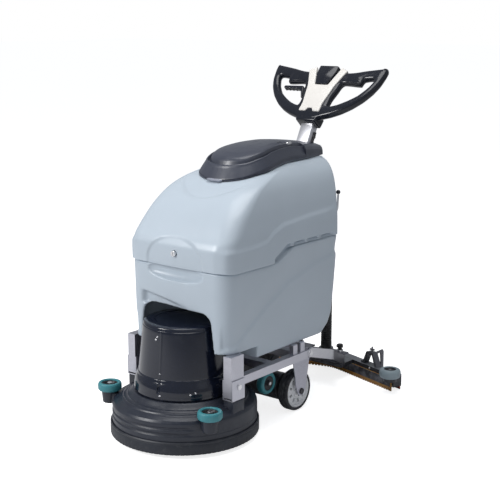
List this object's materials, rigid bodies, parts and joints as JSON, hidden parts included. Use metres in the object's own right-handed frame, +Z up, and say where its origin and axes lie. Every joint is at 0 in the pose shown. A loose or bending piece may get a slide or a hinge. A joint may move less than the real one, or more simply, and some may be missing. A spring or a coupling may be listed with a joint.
{
  "type": "floor scrubber",
  "caption": "Walk-behind floor scrubber with a round brush deck, stacked tanks, a leaning handle loop, drive wheels and a lifting squeegee behind.",
  "frame": {"origin": "on the floor, at the middle of the machine's width and of its length", "axes": "+X to the right of someone who stands behind the handle seen from the front of the deck as drawn here (the right-hand wheel side), +Y from the brush deck towards the handle and squeegee, +Z up. The machine drives towards -Y."},
  "size_m": [0.701, 1.0758, 1.0953],
  "materials": {
    "tank_plastic": "semi-matt, moulded, light blue-grey",
    "charcoal_plastic": "satin, moulded, dark charcoal",
    "black_gloss": "glossy black",
    "black_matt": "matt black",
    "stainless": "brushed, bare",
    "zinc_bolt": "bright zinc",
    "teal_rubber": "satin teal polyurethane",
    "grey_rubber": "satin light grey polyurethane",
    "hose_rubber": "ribbed matt black hose",
    "amber_rubber": "translucent amber gum rubber",
    "red_rubber": "red gum rubber",
    "cream_plastic": "satin off-white",
    "white_plastic": "satin white nylon",
    "tyre_rubber": "matt, lightly grooved",
    "bristle_nylon": "stiff nylon tufts",
    "driver_plastic": "moulded brush block",
    "button_red": "glossy red",
    "button_green": "glossy green",
    "display_window": "glossy dark window",
    "dark_steel": "dark painted steel",
    "column_paint": "silver powder coat"
  },
  "bodies": {
    "chassis": {"chassis_frame": "stainless", "fork_plate_left": "stainless", "fork_plate_right": "stainless", "drive_unit": "black_matt", "idler_bracket": "stainless", "arm_pin_left": "zinc_bolt", "arm_pin_right": "zinc_bolt", "pivot_bolt_left": "zinc_bolt", "pivot_bolt_right": "zinc_bolt", "solution_tank": "tank_plastic", "battery_left": "charcoal_plastic", "battery_right": "charcoal_plastic", "hose_socket": "hose_rubber", "suction_hose": "hose_rubber"},
    "deck": {"deck_shell": "charcoal_plastic", "deck_skirt": "black_matt", "motor_cover": "black_gloss", "brush_motor": "black_matt", "guard_pin_left": "zinc_bolt", "guard_pin_right": "zinc_bolt", "deck_clevis_left": "stainless", "deck_clevis_right": "stainless"},
    "brush": {"brush_plate": "driver_plastic", "brush_bristles": "bristle_nylon"},
    "guard_wheel_left": {"guard_roller_left": "teal_rubber"},
    "guard_wheel_right": {"guard_roller_right": "teal_rubber"},
    "wheel_left": {"wheel_rim_left": "white_plastic", "wheel_tyre_left": "tyre_rubber"},
    "wheel_right": {"wheel_rim_right": "white_plastic", "wheel_tyre_right": "tyre_rubber"},
    "idler": {"idler_roller": "teal_rubber"},
    "upper_tank": {"recovery_tank": "tank_plastic", "rear_cover": "charcoal_plastic", "column": "column_paint", "handle_loop": "black_gloss", "handle_cover": "cream_plastic", "control_housing": "black_gloss", "display": "display_window", "handle_cable": "black_matt", "vacuum_motor": "black_matt", "float_strainer": "cream_plastic"},
    "lid": {"lid": "charcoal_plastic"},
    "lock": {"key_lock": "zinc_bolt"},
    "finger_grip": {"finger_lever": "black_gloss"},
    "stop_button": {"button_left": "button_red"},
    "start_button": {"button_right": "button_green"},
    "squeegee_lever": {"lift_lever": "stainless", "lever_ball": "black_gloss"},
    "squeegee": {"squeegee_arm": "stainless", "squeegee_body": "charcoal_plastic", "blade_front": "amber_rubber", "blade_rear": "red_rubber", "caster_strap_left": "dark_steel", "caster_strap_right": "dark_steel"},
    "end_wheel_left": {"end_roller_left": "grey_rubber"},
    "end_wheel_right": {"end_roller_right": "grey_rubber"},
    "caster_left": {"caster_wheel_left": "black_matt"},
    "caster_right": {"caster_wheel_right": "black_matt"},
    "knob_left": {"squeegee_knob_left": "black_matt"},
    "knob_right": {"squeegee_knob_right": "black_matt"}
  },
  "joints": [
    {"name": "deck_rock", "type": "hinge", "parent": "chassis", "child": "deck", "pos_m": [0, -0.3079, 0.19], "axis": [1, 0, 0], "range_deg": [-1.5, 1.5]},
    {"name": "brush_spin", "type": "hinge", "parent": "deck", "child": "brush", "pos_m": [0, -0.3079, 0.09], "axis": [0, 0, 1], "continuous": true},
    {"name": "guard_spin_left", "type": "hinge", "parent": "deck", "child": "guard_wheel_left", "pos_m": [-0.206, -0.4279, 0.135], "axis": [0, 0, 1], "continuous": true},
    {"name": "guard_spin_right", "type": "hinge", "parent": "deck", "child": "guard_wheel_right", "pos_m": [0.206, -0.4279, 0.135], "axis": [0, 0, 1], "continuous": true},
    {"name": "wheel_roll_left", "type": "hinge", "parent": "chassis", "child": "wheel_left", "pos_m": [-0.149, 0.0601, 0.068], "axis": [1, 0, 0], "continuous": true},
    {"name": "wheel_roll_right", "type": "hinge", "parent": "chassis", "child": "wheel_right", "pos_m": [0.149, 0.0601, 0.068], "axis": [1, 0, 0], "continuous": true},
    {"name": "idler_roll", "type": "hinge", "parent": "chassis", "child": "idler", "pos_m": [0.12, -0.0529, 0.115], "axis": [1, 0, 0], "continuous": true},
    {"name": "tank_tilt", "type": "hinge", "parent": "chassis", "child": "upper_tank", "pos_m": [0, 0.3271, 0.5685], "axis": [-1, 0, 0], "range_deg": [0, 60]},
    {"name": "lid_open", "type": "hinge", "parent": "upper_tank", "child": "lid", "pos_m": [0, 0.1921, 0.8655], "axis": [-1, 0, 0], "range_deg": [0, 75]},
    {"name": "lock_turn", "type": "hinge", "parent": "upper_tank", "child": "lock", "pos_m": [0, -0.3479, 0.572], "axis": [0, -1, 0], "range_deg": [0, 90]},
    {"name": "finger_squeeze", "type": "hinge", "parent": "upper_tank", "child": "finger_grip", "pos_m": [-0.07649, 0.41263, 1.02029], "axis": [0, 0.7501, -0.6613], "range_deg": [0, 7.5], "stiffness_Nm_per_rad": 4, "springref_deg": -2.86},
    {"name": "stop_press", "type": "slide", "parent": "upper_tank", "child": "stop_button", "axis": [0, -0.6613, -0.7501], "range_m": [0, 0.002], "stiffness_N_per_m": 500, "springref_m": -0.001},
    {"name": "start_press", "type": "slide", "parent": "upper_tank", "child": "start_button", "axis": [0, -0.6613, -0.7501], "range_m": [0, 0.002], "stiffness_N_per_m": 500, "springref_m": -0.001},
    {"name": "squeegee_lift", "type": "hinge", "parent": "chassis", "child": "squeegee", "pos_m": [0, 0.0621, 0.203], "axis": [1, 0, 0], "range_deg": [0, 12], "deforming": ["suction_hose"]},
    {"name": "lever_turn", "type": "hinge", "parent": "upper_tank", "child": "squeegee_lever", "pos_m": [0.15, 0.2671, 0.629], "axis": [0, 1, 0], "range_deg": [0, 78]},
    {"name": "end_spin_left", "type": "hinge", "parent": "squeegee", "child": "end_wheel_left", "pos_m": [-0.314, 0.3862, 0.0583], "axis": [0, 0, 1], "continuous": true},
    {"name": "end_spin_right", "type": "hinge", "parent": "squeegee", "child": "end_wheel_right", "pos_m": [0.314, 0.3862, 0.0583], "axis": [0, 0, 1], "continuous": true},
    {"name": "caster_roll_left", "type": "hinge", "parent": "squeegee", "child": "caster_left", "pos_m": [-0.192, 0.51183, 0.02], "axis": [1, 0, 0], "continuous": true},
    {"name": "caster_roll_right", "type": "hinge", "parent": "squeegee", "child": "caster_right", "pos_m": [0.192, 0.51183, 0.02], "axis": [1, 0, 0], "continuous": true},
    {"name": "knob_turn_left", "type": "hinge", "parent": "squeegee", "child": "knob_left", "pos_m": [-0.086, 0.4181, 0.11], "axis": [0, 0, 1], "range_deg": [0, 360]},
    {"name": "knob_turn_right", "type": "hinge", "parent": "squeegee", "child": "knob_right", "pos_m": [0.086, 0.4181, 0.11], "axis": [0, 0, 1], "range_deg": [0, 360]}
  ],
  "couplings": [
    {"joint": "lever_turn", "follows": "squeegee_lift", "ratio": 6.5}
  ]
}
